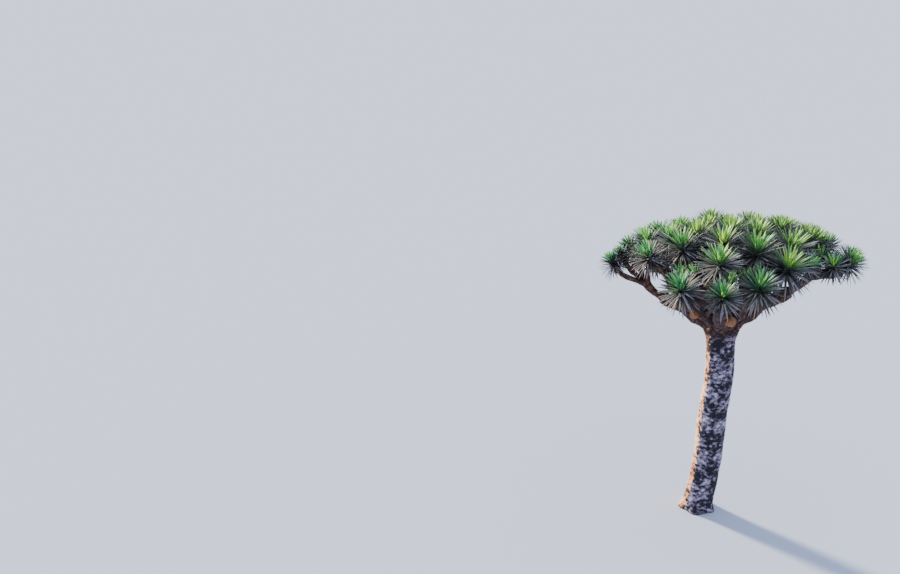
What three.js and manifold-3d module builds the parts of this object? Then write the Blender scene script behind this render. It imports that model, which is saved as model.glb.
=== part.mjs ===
// A dragon blood tree: one stout trunk that forks at a single height into an umbrella of
// thick limbs, each of which forks again and again until every tip carries a rosette of
// stiff sword-shaped leaves. Millimetres, +Z up, origin at the middle of the trunk's cut
// foot on level ground. +X is to the right and -Y towards someone looking at the tree.
import * as THREE from "three";
import { mergeVertices } from "three/addons/utils/BufferGeometryUtils.js";
import Module from "manifold-3d";

// Trunk
const FORK_HEIGHT = 3250; // ground to the middle of the head that the limbs leave
const TRUNK_RADIUS = 228; // over the middle of the trunk
const NECK_RADIUS = 220; // just under the head
const FOOT_SPREAD = 56; // extra radius of the root flare at the ground
const FOOT_HEIGHT = 140; // how fast the flare dies away
const BUTTRESSES = 5; // lobes of the flare
const BUTTRESS_SHARE = 0.5; // how far the flare swells and shrinks round them
const LEAN = 144; // sideways offset of the head from the foot
const LEAN_HEIGHT = 880; // the lean is taken up over this height
const SWAY = 42; // how far the trunk sways out at its top, and less lower down
const SWAYS = 2; // times that it sways on its way up
const HEAD_RADIUS = 248; // swelling that the limbs leave
const HEAD_HEIGHT = 210; // from the neck to the flat top of the head
const HEAD_SPREAD = 126; // how fast the swelling dies away
const HEAD_TOP_SHARE = 0.8; // radius of its rounded top
const NECK_STARTS = 0.55; // where the trunk starts to narrow, as a share of its height
const TRUNK_SIDES = 16;
const TRUNK_STEPS = 14;

// Crown: rosettes stand on a dome, tilted a little, that is lower at its rim
const DOME_TOP = 4880;
const DOME_DROP = 560; // from the middle of the dome to its rim
const DOME_POWER = 2.2;
const DOME_REACH = 1800;
const DOME_TILT = 4.5; // degrees, the right side higher
const ROW_REACH = [1, 0.73, 0.45, 0.2]; // rows of rosettes, as shares of a limb's reach
const JITTER_ANGLE = 4; // degrees either way
const JITTER_REACH = 0.05;
const JITTER_HEIGHT = 45;
const JITTER_SIZE = 0.18;
const RIM_BULGE = 0.35; // a row bulges in its middle by a quarter of this share
const OUTWARD_TILT = 0.62; // how far rim rosettes lean out, as a tangent
const TILT_POWER = 1.5; // how fast that grows towards the rim

// One main limb each: azimuth and fan in degrees, reach, how steeply it rises compared with
// the others, how large its rosettes are, and how many it has in each row.
const LIMBS = [
  { name: "left", azimuth: 167, reach: 1820, fan: 32, steep: 0.58, size: 0.82, rows: [3, 3, 2, 1] },
  { name: "front_left", azimuth: -145, reach: 1360, fan: 46, steep: 0.9, size: 0.9, rows: [1, 2, 1] },
  { name: "front", azimuth: -93, reach: 1780, fan: 50, steep: 1, size: 1, rows: [3, 1, 1, 1] },
  { name: "front_right", azimuth: -54, reach: 1440, fan: 66, steep: 1, size: 1.05, rows: [1, 2, 1] },
  { name: "right", azimuth: 9, reach: 1700, fan: 32, steep: 0.9, size: 0.82, rows: [3, 3, 2, 1] },
  { name: "back_right", azimuth: 56, reach: 1620, fan: 54, steep: 1, size: 0.86, rows: [4, 3, 1] },
  { name: "back_left", azimuth: 115, reach: 1620, fan: 54, steep: 0.9, size: 0.86, rows: [4, 3, 1] },
];

// Forking: each limb runs part of the way to the middle of the rosettes that it carries
const FORK_SHARE_OUT = [0.4, 0.46, 0.5]; // main limb, second limb, stem inside a mass
const FORK_SHARE_UP = [0.3, 0.42, 0.5];
const FIRST_RISE = 0.45; // upward part of the way a main limb leaves the head
const TURN = [0.65, 0.65, 0.6]; // how far a limb turns at its start towards its own end
const RISE = [0.22, 0.22, 0.3]; // how far it turns up by its end
const RISE_JITTER = 0.08;
const TIPS_PER_MASS = 2;
const TIP_RADIUS = 43; // a stem that carries one rosette
const RADIUS_POWER = 0.42; // a limb's radius grows with this power of its rosettes
const SWELL = 1.14; // knuckle at a fork
const CAP = 0.62; // rounded end of a knuckle
const KNUCKLE_AT = 0.9; // along a limb
const LIMB = { rings: [0, 0.3, 0.6, KNUCKLE_AT, 1], sides: 8, knuckle: true };
const STEM = { rings: [0, 0.5, KNUCKLE_AT, 1], sides: 5, knuckle: true };
const TWIG = { rings: [0, 0.5, 1, 2], sides: 4, knuckle: false }; // ring 2 is the top of the leaf core
const BEND = 0.36; // length of a curve's handles, as a share of its chord
const NEARLY_UPRIGHT = 0.9; // rise of a limb's chord, as a share of its length
const CLEARANCE = 0.35; // between neighbouring solids

// Rosettes
const LEAF_LENGTH = 385; // in a rosette of size 1
const YOUNG_SHARE = 0.8; // length of the youngest leaf, as a share of a grown one
const GROWN_AGE = 0.3; // share of the leaves that are still growing
const LEAF_WIDTH = 122;
const LEAF_THICKNESS = 14;
const LEAF_WAIST = 0.34; // widest point, as a share of the length
const LEAVES = 10; // in one rosette
const LEAF_STEEPEST = 12; // degrees from the rosette's axis
const LEAF_LOWEST = 122;
const LEAF_ROOT = 0.15; // how far from a stem's middle a leaf starts, as a share of its radius
const CORE_LENGTH = 110; // stretch of stem that leaves grow from
const FIRST_ROOT = 0.94; // where on the core the youngest leaf starts
const ROOTS_SPREAD = 0.8; // share of the core between the youngest leaf and the oldest
const GOLDEN_ANGLE = Math.PI * (3 - Math.sqrt(5));
const SHORTER = [1, 0.86, 0.72, 0.6]; // lengths tried before a leaf is skipped
const LEAF_CHECKS = [0.2, 0.27, LEAF_WAIST, 0.42, 0.5, 0.58, 0.66, 0.74, 0.82, 0.9, 1]; // along it
const ROOM_MARGIN = 4; // between a leaf and the edge of its mass's space
const LIMB_MARGIN = 8; // between a leaf and any limb
const SPOTS_PER_LIMB = 16; // points along a limb that leaves are kept clear of
const TRUNK_SPOTS = [0.5, 0.6, 0.7, 0.8, 0.85, 0.9, 0.95, 1]; // the same, up the trunk
const SEED = 2407;

const BARK_GREY = 0x6d676a;
const BARK_BROWN = 0x5b4238;
const LEAF_GREEN = 0x3f6b3a;

const wasm = await Module();
wasm.setup();

const UP = new THREE.Vector3(0, 0, 1);
const radians = THREE.MathUtils.degToRad;
const vector = (x, y, z) => new THREE.Vector3(x, y, z);
const mix = (a, b, share) => a.clone().lerp(b, share);
const towards = (a, b) => b.clone().sub(a).normalize();

// Numbers from -1 to 1 that are the same on every run.
let seedState = SEED;
function wobble() {
  seedState = (seedState * 16807) % 2147483647;
  return (2 * seedState) / 2147483647 - 1;
}

// Where the middle of the trunk is at a height.
function trunkAxis(height) {
  const share = height / FORK_HEIGHT;
  const lean = LEAN * (1 - Math.exp(-height / LEAN_HEIGHT));
  const sway = SWAY * share * Math.sin(Math.PI * SWAYS * share) ** 2;
  return vector(lean + sway, 0, height);
}

const HEAD = trunkAxis(FORK_HEIGHT);
const TRUNK_TOP = FORK_HEIGHT + HEAD_HEIGHT / 2;

function domeHeight(reach, x) {
  const drop = DOME_DROP * (reach / DOME_REACH) ** DOME_POWER;
  return DOME_TOP - drop + Math.tan(radians(DOME_TILT)) * x;
}

// The rosettes of one main limb: the foot of each leaf core and the way it points.
function rosettesOf(limb) {
  const tips = [];
  limb.rows.forEach((count, row) => {
    for (let i = 0; i < count; i++) {
      const across = (i + 0.5) / count - 0.5;
      const angle = radians(limb.azimuth + limb.fan * across + JITTER_ANGLE * wobble());
      const bulge = 1 - RIM_BULGE * across * across;
      const reach = limb.reach * ROW_REACH[row] * bulge * (1 + JITTER_REACH * wobble());
      const x = reach * Math.cos(angle);
      const y = reach * Math.sin(angle);
      const z = domeHeight(reach, x) + JITTER_HEIGHT * wobble();
      const out = OUTWARD_TILT * (reach / DOME_REACH) ** TILT_POWER;
      const axis = vector(out * Math.cos(angle), out * Math.sin(angle), 1).normalize();
      const heart = vector(HEAD.x + x, HEAD.y + y, z);
      const foot = heart.clone().addScaledVector(axis, -CORE_LENGTH / 2);
      const size = limb.size * (1 + JITTER_SIZE * wobble());
      tips.push({ foot, heart, axis, angle, reach, size });
    }
  });
  return tips;
}

const middleOf = (tips) =>
  tips.reduce((sum, tip) => sum.add(tip.foot), vector(0, 0, 0)).divideScalar(tips.length);

const radiusFor = (count) => TIP_RADIUS * count ** RADIUS_POWER;

// Splits rosettes in two, across whichever way they spread more.
function halves(tips) {
  const spread = (of) => Math.max(...tips.map(of)) - Math.min(...tips.map(of));
  const middle = tips.reduce((sum, tip) => sum + tip.reach, 0) / tips.length;
  const outward = spread((tip) => tip.reach) > spread((tip) => tip.angle) * middle;
  const key = outward ? (tip) => tip.reach : (tip) => tip.angle;
  const sorted = [...tips].sort((a, b) => key(a) - key(b));
  const cut = Math.ceil(sorted.length / 2);
  return [sorted.slice(0, cut), sorted.slice(cut)];
}

// A tapering limb on a smooth curve, from a point and direction to a point and direction.
function limbBetween(form, start, startWay, end, endWay, count, taper) {
  const handle = start.distanceTo(end) * BEND;
  const curve = new THREE.CubicBezierCurve3(
    start.clone(),
    start.clone().addScaledVector(startWay, handle),
    end.clone().addScaledVector(endWay, -handle),
    end.clone(),
  );
  const radius = radiusFor(count);
  return { ...form, curve, endWay, from: radius * taper[0], to: radius * taper[1] };
}

// Where a limb forks: part of the way out to its rosettes, and less of the way up.
function forkPoint(start, tips, level, steep) {
  const middle = middleOf(tips);
  return vector(
    start.x + (middle.x - start.x) * FORK_SHARE_OUT[level],
    start.y + (middle.y - start.y) * FORK_SHARE_OUT[level],
    start.z + (middle.z - start.z) * FORK_SHARE_UP[level] * steep,
  );
}

// The whole skeleton: limbs as single tapering curves, and masses as forked stems with rosettes.
const limbs = [];
const masses = [];

function growMass(name, start, way, tips, steep) {
  const stems = [];
  if (tips.length === 1) {
    const first = mix(way, towards(start, tips[0].foot), TURN[2]).normalize();
    stems.push(limbBetween(TWIG, start, first, tips[0].foot, tips[0].axis, 1, [1.12, 1]));
  } else {
    const fork = forkPoint(start, tips, 2, steep);
    const first = mix(way, towards(start, fork), TURN[2]).normalize();
    const last = mix(towards(start, fork), UP, RISE[2]).normalize();
    stems.push(limbBetween(STEM, start, first, fork, last, tips.length, [1.05, 0.95]));
    for (const tip of tips) {
      const leaving = mix(last, towards(fork, tip.foot), TURN[2]).normalize();
      stems.push(limbBetween(TWIG, fork, leaving, tip.foot, tip.axis, 1, [1.05, 1]));
    }
  }
  masses.push({ name, stems, tips });
}

function growLimb(name, start, way, tips, level, steep) {
  const fork = forkPoint(start, tips, level, steep);
  const first = mix(way, towards(start, fork), TURN[level]).normalize();
  const last = mix(towards(start, fork), UP, RISE[level] + RISE_JITTER * wobble()).normalize();
  const limb = limbBetween(LIMB, start, first, fork, last, tips.length, [1.1, 0.92]);
  limbs.push({ name: "bough_" + name, ...limb });
  const next = limb.curve.getPoint(KNUCKLE_AT);
  const leaving = limb.curve.getTangent(KNUCKLE_AT);
  if (tips.length <= TIPS_PER_MASS) {
    growMass("rosettes_" + name, next, leaving, tips, steep);
    return;
  }
  halves(tips).forEach((part, i) => {
    const child = name + (level === 0 ? "_" + "ab"[i] : i + 1);
    if (level === 0) growLimb(child, next, leaving, part, 1, steep);
    else growMass("rosettes_" + child, next, leaving, part, steep);
  });
}

for (const limb of LIMBS) {
  const angle = radians(limb.azimuth);
  const way = vector(Math.cos(angle), Math.sin(angle), FIRST_RISE * limb.steep).normalize();
  growLimb(limb.name, HEAD.clone(), way, rosettesOf(limb), 0, limb.steep);
}

// A closed mesh as a solid, and back again.
function solidOf(geometry) {
  const bare = new THREE.BufferGeometry();
  bare.setAttribute("position", geometry.getAttribute("position"));
  bare.setIndex(geometry.index);
  const merged = mergeVertices(bare, 1e-3);
  const vertProperties = new Float32Array(merged.attributes.position.array);
  const triVerts = new Uint32Array(merged.index.array);
  return new wasm.Manifold(new wasm.Mesh({ numProp: 3, vertProperties, triVerts }));
}

function geometryOf(solid) {
  const mesh = solid.getMesh();
  const points = new Float32Array(mesh.numVert * 3);
  for (let i = 0; i < mesh.numVert; i++) {
    points.set(mesh.vertProperties.subarray(i * mesh.numProp, i * mesh.numProp + 3), i * 3);
  }
  const geometry = new THREE.BufferGeometry();
  geometry.setAttribute("position", new THREE.BufferAttribute(points, 3));
  geometry.setIndex(new THREE.BufferAttribute(new Uint32Array(mesh.triVerts), 1));
  geometry.computeVertexNormals();
  return geometry;
}

// The largest piece of a solid, without loose scraps and sealed hollows.
function mainPiece(solid) {
  const pieces = solid.decompose();
  return pieces.sort((a, b) => b.volume() - a.volume())[0];
}

// A cylinder whose vertices are moved to place(ring, angle, edge): edge is 0 on a cap's middle.
function bentCylinder(sides, steps, place) {
  const geometry = new THREE.CylinderGeometry(1, 1, 1, sides, steps);
  const position = geometry.getAttribute("position");
  for (let i = 0; i < position.count; i++) {
    const x = position.getX(i);
    const z = position.getZ(i);
    const ring = Math.round((position.getY(i) + 0.5) * steps);
    const edge = Math.hypot(x, z) > 0.5 ? 1 : 0;
    const point = place(ring, Math.atan2(x, z), edge);
    position.setXYZ(i, point.x, point.y, point.z);
  }
  return geometry;
}

// A level direction at right angles to a limb's chord, which keeps its rings from twisting.
function acrossLimb(limb) {
  const chord = towards(limb.curve.v0, limb.curve.v3);
  return chord.cross(Math.abs(chord.z) > NEARLY_UPRIGHT ? vector(1, 0, 0) : UP).normalize();
}

// One tapering limb as a tube, with a knuckle at its end or a straight leaf core past it,
// grown outwards by extra.
function limbGeometry(limb, extra) {
  const last = limb.rings.length - 1;
  const across = acrossLimb(limb);
  return bentCylinder(limb.sides, last, (ring, angle, edge) => {
    const t = Math.min(limb.rings[ring], 1);
    const grown = ring === last ? extra : ring === 0 ? -extra : 0;
    const past = CORE_LENGTH * (limb.rings[ring] - t) + grown;
    const along = limb.curve.getTangent(t);
    const side = across.clone().addScaledVector(along, -along.dot(across)).normalize();
    const other = side.clone().cross(along);
    const shape = !limb.knuckle ? 1 : ring === last ? CAP : ring === last - 1 ? SWELL : 1;
    const radius = (limb.from + (limb.to - limb.from) * t) * shape + extra;
    return limb.curve
      .getPoint(t)
      .addScaledVector(along, past)
      .addScaledVector(side, edge * radius * Math.sin(angle))
      .addScaledVector(other, edge * radius * Math.cos(angle));
  });
}

// Heights of the trunk's rings, closest together at the flare and at the head.
function ringHeight(ring) {
  const share = ring / TRUNK_STEPS;
  return (TRUNK_TOP * (1 - Math.cos(Math.PI * share))) / 2;
}

// The trunk, with its lean, root flare and the head that the limbs leave.
function trunkGeometry(extra) {
  return bentCylinder(TRUNK_SIDES, TRUNK_STEPS, (ring, angle, edge) => {
    const height = ringHeight(ring);
    const foot = FOOT_SPREAD * Math.exp(-height / FOOT_HEIGHT);
    const lobes = 1 + BUTTRESS_SHARE * Math.cos(BUTTRESSES * angle);
    const neck = THREE.MathUtils.smoothstep(height, NECK_STARTS * TRUNK_TOP, TRUNK_TOP - HEAD_HEIGHT);
    const shaft = TRUNK_RADIUS + (NECK_RADIUS - TRUNK_RADIUS) * neck;
    const head = Math.exp(-(((height - FORK_HEIGHT) / HEAD_SPREAD) ** 2));
    const radius = shaft + foot * lobes + (HEAD_RADIUS - NECK_RADIUS) * head;
    const rounded = ring === TRUNK_STEPS ? HEAD_TOP_SHARE : 1;
    const point = trunkAxis(height);
    point.x += edge * (radius * rounded + extra) * Math.sin(angle);
    point.y -= edge * (radius * rounded + extra) * Math.cos(angle);
    point.z += ring === TRUNK_STEPS ? extra : 0;
    return point;
  });
}

// A leaf is a six-sided blade: a root point, a wide waist with a keel under it, and a tip.
// Its unit shape has the root at -Y, the tip at +Y, the edges at -X and +X and the keel at -Z.
const BLADE_POINTS = [0, -1, 0, 0, 1, 0, -1, 0, 0, 1, 0, 0, 0, 0, -1];
const BLADE_FACES = [1, 2, 3, 0, 3, 2, 1, 3, 4, 0, 4, 3, 1, 4, 2, 0, 2, 4];

function leafGeometry(root, way, face, length) {
  const geometry = new THREE.PolyhedronGeometry(BLADE_POINTS, BLADE_FACES, 1, 0);
  const across = way.clone().cross(face);
  const position = geometry.getAttribute("position");
  for (let i = 0; i < position.count; i++) {
    const along = position.getY(i);
    const reach = along > 0.5 ? 1 : along < -0.5 ? 0 : LEAF_WAIST;
    const point = root
      .clone()
      .addScaledVector(way, reach * length)
      .addScaledVector(across, (position.getX(i) * LEAF_WIDTH) / 2)
      .addScaledVector(face, position.getZ(i) * LEAF_THICKNESS);
    position.setXYZ(i, point.x, point.y, point.z);
  }
  return geometry;
}

// How far inside the space of its own mass a point is: the space ends half way to the
// rosettes of every other mass.
function roomAt(point, mass) {
  const own = mass.tips.reduce((a, b) =>
    point.distanceToSquared(a.heart) < point.distanceToSquared(b.heart) ? a : b);
  let room = Infinity;
  for (const other of masses) {
    if (other === mass) continue;
    for (const tip of other.tips) {
      const gap = point.distanceToSquared(tip.heart) - point.distanceToSquared(own.heart);
      room = Math.min(room, gap / (2 * own.heart.distanceTo(tip.heart)));
    }
  }
  return room;
}

// Points down the middle of every limb and stem, with their radii, to keep leaves clear of.
function obstaclesFor(mass) {
  const spots = [];
  const mark = (limb) => {
    for (let i = 0; i <= SPOTS_PER_LIMB; i++) {
      const t = i / SPOTS_PER_LIMB;
      spots.push({ point: limb.curve.getPoint(t), radius: limb.from + (limb.to - limb.from) * t });
    }
  };
  limbs.forEach(mark);
  masses.filter((other) => other !== mass).forEach((other) => other.stems.forEach(mark));
  TRUNK_SPOTS.forEach((share) => {
    spots.push({ point: trunkAxis(share * FORK_HEIGHT), radius: HEAD_RADIUS });
  });
  return spots;
}

function leafFits(root, way, length, mass, spots) {
  return LEAF_CHECKS.every((share) => {
    const point = root.clone().addScaledVector(way, share * length);
    const half = (LEAF_WIDTH / 2) * Math.min(share / LEAF_WAIST, (1 - share) / (1 - LEAF_WAIST));
    if (roomAt(point, mass) < half + ROOM_MARGIN) return false;
    return spots.every((spot) =>
      point.distanceTo(spot.point) > spot.radius * SWELL + half + LIMB_MARGIN);
  });
}

// The leaves of one rosette: steep and young in the middle, drooping and old at the foot.
function rosetteLeaves(tip, mass, spots, turn) {
  const side = vector(-Math.sin(tip.angle), Math.cos(tip.angle), 0);
  const other = tip.axis.clone().cross(side);
  const leaves = [];
  for (let i = 0; i < LEAVES; i++) {
    const age = (i + 0.5) / LEAVES;
    const high = Math.cos(radians(LEAF_STEEPEST));
    const low = Math.cos(radians(LEAF_LOWEST));
    const up = high + (low - high) * age;
    const out = Math.sqrt(1 - up * up);
    const angle = turn + i * GOLDEN_ANGLE;
    const way = tip.axis.clone().multiplyScalar(up);
    way.addScaledVector(side, out * Math.cos(angle));
    way.addScaledVector(other, out * Math.sin(angle));
    const face = tip.axis.clone().addScaledVector(way, -tip.axis.dot(way)).normalize();
    const sideways = way.clone().addScaledVector(tip.axis, -up).normalize();
    const root = tip.foot
      .clone()
      .addScaledVector(tip.axis, CORE_LENGTH * (FIRST_ROOT - ROOTS_SPREAD * age))
      .addScaledVector(sideways, TIP_RADIUS * LEAF_ROOT);
    const young = (1 - YOUNG_SHARE) * (1 - THREE.MathUtils.smoothstep(age, 0, GROWN_AGE));
    const full = LEAF_LENGTH * tip.size * (1 - young);
    const share = SHORTER.find((s) => leafFits(root, way, s * full, mass, spots));
    if (share) leaves.push(leafGeometry(root, way, face, share * full));
  }
  return leaves;
}

const tree = new THREE.Group();
const taken = []; // solids already placed, grown by the clearance, that later ones are cut by

function addNode(name, solid, color, roughness) {
  const rounded = solidOf(geometryOf(mainPiece(solid)));
  const material = new THREE.MeshStandardMaterial({ color, roughness, metalness: 0 });
  const mesh = new THREE.Mesh(geometryOf(mainPiece(rounded)), material);
  mesh.name = name;
  tree.add(mesh);
}

function clearOfOthers(solid) {
  return mainPiece(taken.reduce((left, other) => left.subtract(other), solid));
}

addNode("trunk", solidOf(trunkGeometry(0)), BARK_GREY, 0.95);
taken.push(solidOf(trunkGeometry(CLEARANCE)));

for (const limb of limbs) {
  addNode(limb.name, clearOfOthers(solidOf(limbGeometry(limb, 0))), BARK_BROWN, 0.9);
  taken.push(solidOf(limbGeometry(limb, CLEARANCE)));
}

for (const mass of masses) {
  const spots = obstaclesFor(mass);
  const stems = mass.stems.map((stem) => solidOf(limbGeometry(stem, 0)));
  const wood = clearOfOthers(wasm.Manifold.union(stems));
  const leaves = mass.tips.flatMap((tip) => rosetteLeaves(tip, mass, spots, Math.PI * wobble()));
  addNode(mass.name, wasm.Manifold.union([wood, ...leaves.map(solidOf)]), LEAF_GREEN, 0.6);
  taken.push(...mass.stems.map((stem) => solidOf(limbGeometry(stem, CLEARANCE))));
}

export default tree;
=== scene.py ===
# A dragon blood tree: a stout leaning trunk, an umbrella of limbs that fork again and again,
# and a rosette of stiff sword-shaped leaves on every tip. Metres, +Z up, the origin in the
# middle of the trunk's cut foot. The limbs grow by the same seeded rule as the solids do.
import math
from collections import namedtuple

import bpy
import numpy as np
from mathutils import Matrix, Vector, noise


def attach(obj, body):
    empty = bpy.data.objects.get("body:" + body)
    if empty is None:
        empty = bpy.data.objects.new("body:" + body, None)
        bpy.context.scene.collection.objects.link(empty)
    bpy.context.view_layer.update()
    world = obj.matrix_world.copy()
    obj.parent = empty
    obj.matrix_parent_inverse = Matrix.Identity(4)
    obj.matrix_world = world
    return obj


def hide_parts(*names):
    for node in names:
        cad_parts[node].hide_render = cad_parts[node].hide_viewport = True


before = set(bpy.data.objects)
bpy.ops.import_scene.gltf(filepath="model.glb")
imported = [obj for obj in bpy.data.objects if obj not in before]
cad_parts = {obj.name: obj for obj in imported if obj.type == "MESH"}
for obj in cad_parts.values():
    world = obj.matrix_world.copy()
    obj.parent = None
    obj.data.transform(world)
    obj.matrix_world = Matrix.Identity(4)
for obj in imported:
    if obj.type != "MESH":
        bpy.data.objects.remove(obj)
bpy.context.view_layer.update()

# Trunk
FORK_HEIGHT = 3.25  # ground to the middle of the head that the limbs leave
TRUNK_RADIUS = 0.228  # over the middle of the trunk
NECK_RADIUS = 0.220  # just under the head
FOOT_SPREAD = 0.056  # extra radius of the root flare at the ground
FOOT_HEIGHT = 0.140  # how fast the flare dies away
BUTTRESSES = 5  # lobes of the flare
BUTTRESS_SHARE = 0.5  # how far the flare swells and shrinks round them
LEAN = 0.144  # sideways offset of the head from the foot
LEAN_HEIGHT = 0.880  # the lean is taken up over this height
SWAY = 0.042  # how far the trunk sways out at its top, and less lower down
SWAYS = 2  # times that it sways on its way up
HEAD_RADIUS = 0.248  # swelling that the limbs leave
HEAD_HEIGHT = 0.210  # from the neck to the top of the head
HEAD_SPREAD = 0.126  # how fast the swelling dies away
FLAT_SHARE = 0.02  # part of the head's area that its rounded top leaves flat
NECK_STARTS = 0.55  # where the trunk starts to narrow, as a share of its height
TRUNK_TOP = FORK_HEIGHT + HEAD_HEIGHT / 2

# Crown
DOME_TOP = 4.880
DOME_DROP = 0.560  # from the middle of the dome to its rim
DOME_POWER = 2.2
DOME_REACH = 1.800
DOME_TILT = math.radians(4.5)  # the right side is higher
ROW_REACH = (1, 0.73, 0.45, 0.2)  # rows of rosettes, as shares of a limb's reach
JITTER_ANGLE = 4  # degrees either way
JITTER_REACH = 0.05
JITTER_HEIGHT = 0.045
JITTER_SIZE = 0.18
RIM_BULGE = 0.35  # a row bulges in its middle by a quarter of this share
OUTWARD_TILT = 0.62  # how far rim rosettes lean out, as a tangent
TILT_POWER = 1.5  # how fast that grows towards the rim

# Main limbs: azimuth in degrees, reach, fan in degrees, steepness, rosette size and the
# rosettes in each row
LIMBS = (
    (167, 1.820, 32, 0.58, 0.82, (3, 3, 2, 1)),
    (-145, 1.360, 46, 0.9, 0.90, (1, 2, 1)),
    (-93, 1.780, 50, 1.0, 1.00, (3, 1, 1, 1)),
    (-54, 1.440, 66, 1.0, 1.05, (1, 2, 1)),
    (9, 1.700, 32, 0.9, 0.82, (3, 3, 2, 1)),
    (56, 1.620, 54, 1.0, 0.86, (4, 3, 1)),
    (115, 1.620, 54, 0.9, 0.86, (4, 3, 1)),
)

# Forking
FORK_SHARE_OUT = (0.4, 0.46, 0.5)  # main limb, second limb, stem inside a mass
FORK_SHARE_UP = (0.3, 0.42, 0.5)
STEM_LEVEL = 2
FIRST_RISE = 0.45  # upward part of the way a main limb leaves the head
TURN = (0.65, 0.65, 0.6)  # how far a limb turns at its start towards its own end
RISE = (0.22, 0.22, 0.3)  # how far it turns up by its end
RISE_JITTER = 0.08
TIPS_PER_MASS = 2
TIP_RADIUS = 0.043  # a stem that carries one rosette
RADIUS_POWER = 0.42  # a limb's radius grows with this power of its rosettes
BOUGH_TAPER = (1.1, 0.92)  # radius at a limb's start and at its end, as shares
FORK_TAPER = (1.05, 0.95)
TIP_TAPER = (1.05, 1)
LONE_TAPER = (1.12, 1)
KNUCKLE_AT = 0.9  # along a limb
KNUCKLE_SWELL = 0.13
KNUCKLE_SPREAD = 0.16
WAIST_AT = 0.35
WAIST_DEPTH = 0.06
BEND = 0.36  # length of a curve's handles, as a share of its chord
CORE_LENGTH = 0.110  # stretch of stem that leaves grow from
CORE_TAPER = 0.25
NEARLY_UPRIGHT = 0.9  # rise of a direction of length 1
SEED = 2407

# Small rosettes on side twigs, in the empty places under the dome
SIDE_SHARES = (0.25, 0.6)  # places along a limb that a side twig may leave
SIDE_TURNS = 12  # ways round the limb that are tried
SIDE_LENGTH = 0.33  # of the twigs on stems
INNER_LENGTH = 0.70  # of the twigs on boughs, in the crown's middle
SIDE_ALONG = 0.5  # how far a twig leans along its limb
SIDE_ROOM = 0.24  # least distance to the next rosette
INNER_ROOM = 0.26
SIDE_DEPTH = 0.10  # least depth under the dome
SIDE_DEEPEST = (0.60, 0.12)  # greatest depth, in the crown's middle and at its rim
SIDE_REACH = 1.68  # how far out that rim is
SIDE_LOWEST = 0.1  # least rise of a twig
SIDE_UPTURN = 0.5
SIDE_COUNT = 0.5  # a twig is as thick as a limb of so many rosettes
SIDE_TAPER = (1, 0.9)
SIDE_SIZE = 0.66
SIDE_LEAVES = 96

# Short leafless stubs on the front boughs: which bough, how far along it, and the way out
STUBS = ((6, 0.85, (0.8, -0.7, 0.1)), (3, 0.85, (-0.95, -0.45, 0)))
STUB_LENGTH = 0.21
STUB_COUNT = 3.6  # as thick as a limb of so many rosettes
STUB_TAPER = (0.9, 1)

# Bark meshes
TRUNK_SIDES = 200
TRUNK_RINGS = 430
BOUGH_SIDES = 44
BOUGH_STEP = 0.010
STEM_SIDES = 18
STEM_STEP = 0.0105
TWIG_SIDES = 14
TWIG_STEP = 0.014
FEWEST_RINGS = 12
CORE_RINGS = 10
CAP_RINGS = 7
CAP_LENGTH = 0.55  # height of a rounded end, as a share of its radius
FILLET = 0.16  # gap to another limb at which the bark starts to fill a fork
STEM_FILLET = 0.07
FILLET_HEIGHT = 0.25  # most that the bark rises there, as a share of that gap
LENGTH_POINTS = 12
SPINE_POINTS = 28
TRUNK_SPINE_POINTS = 60
SPINE_MARGIN = 0.3  # room round a limb's middle line in which its bark matters

# Noise of the bark: size, octaves and where it starts
NOISE_FADE = 1.0  # how fast its finer layers fade
NOISE_STEP = 2.0  # how much finer each layer is
TRUNK_STRETCH = np.array([1, 1, 1.35])
TRUNK_LUMPS = (0.34, 2)
TRUNK_BROAD = (0.26, 2, 3.0)
TRUNK_PATCHES = (0.06, 4, 7.0)
TRUNK_GRAIN = (0.022, 3, 19.0)
LIMB_LUMPS = (0.16, 2)
LIMB_PATCHES = (0.06, 3, 7.0)

# Where the trunk is crusted, where sunlight is painted on one side, and where the top is bare and partly
# painted shade
CRUST_PLAIN = 0.54
CRUST_BROAD = 0.36
CRUST_PATCHES = 0.40
CRUST_SUNLIT_PAINT = 0.12  # more crust, so paler, on the side with painted sunlight
CRUST_LOST_HIGH = 0.16  # and less towards the bare top, which is partly painted shade
CRUST_LOST_LOW = 0.07  # and towards the foot
LOW_HEIGHTS = (0.4, 1.5)
# The top darkens from here and is bare from the next height: bark like the limbs', and partly painted
# shade under the crown
DARK_FROM = 2.65
BARE_FROM = 3.03
BARE_WANDER = 0.10
# Painted sunlight: a pale cream strip on the trunk's side that faces the key light
SUNLIT_PAINT_WAY = np.array([-0.996, 0.087, 0])
SUNLIT_PAINT_EDGE = (0.54, 0.84)
SUNLIT_PAINT_WANDER = 0.18
SUNLIT_PAINT_HOLD = 0.5  # how far the painted sunlight holds at the bare, darker top

# Relief of the bark
LUMP_RELIEF = 0.010
CRUST_RELIEF = 0.004
CRUST_EDGE = (0.45, 0.62)
PATCH_RELIEF = 0.0035
GRAIN_RELIEF = 0.0022
WRINKLE_RELIEF = 0.0009
WRINKLE_SPACING = 0.055
WRINKLE_WANDER = (4, 2)  # with the lumps and with the patches
LIMB_LUMP_RELIEF = 0.012
LIMB_PATCH_RELIEF = 0.0045
THICK_LIMB = 0.1  # radius that has that relief in full
RING_RELIEF = 0.0013
RING_SPACING = 0.05
RING_WANDER = 3

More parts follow.
